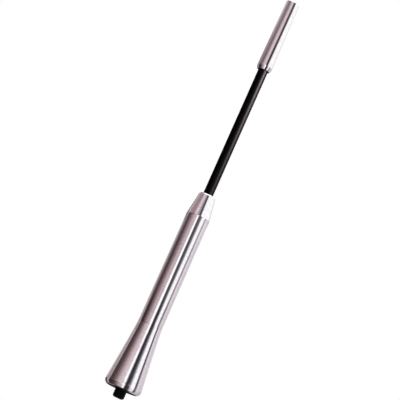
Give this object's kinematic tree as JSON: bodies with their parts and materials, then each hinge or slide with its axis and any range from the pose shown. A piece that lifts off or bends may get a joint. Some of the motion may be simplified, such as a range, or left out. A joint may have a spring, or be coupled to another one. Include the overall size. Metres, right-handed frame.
{
  "type": "car antenna rod",
  "caption": "Short screw-on car antenna rod: threaded stud, flared polished foot, tapered sleeve and nose cone, black mast and polished tip cap.",
  "frame": {"origin": "on the rod's axis in the foot's bottom face, where the foot seats on the car's antenna base", "axes": "+Z along the rod from the stud to the tip; the rod is round, so X and Y are free"},
  "size_m": [0.0188, 0.0188, 0.2178],
  "materials": {
    "polished_aluminium": "polished",
    "black_steel": "black, satin",
    "brass": "machined",
    "black_nylon": "moulded",
    "natural_nylon": "moulded",
    "bright_steel": "drawn wire",
    "copper_wire": "enamelled copper",
    "sheath_plastic": "satin",
    "seal_rubber": "matt"
  },
  "bodies": {
    "root": {"threaded_stud": "black_steel", "stud_hub": "brass", "stud_insulator": "black_nylon", "flared_foot": "polished_aluminium", "contact_spring": "bright_steel", "coil_end_cap": "brass", "coil_former": "natural_nylon", "loading_coil": "copper_wire", "body_sleeve": "polished_aluminium", "mast_ferrule": "brass", "nose_bush": "natural_nylon", "nose_cone": "polished_aluminium", "mast_seal": "seal_rubber", "mast_core": "bright_steel", "mast_sheath": "sheath_plastic", "tip_cap": "polished_aluminium"}
  },
  "joints": []
}
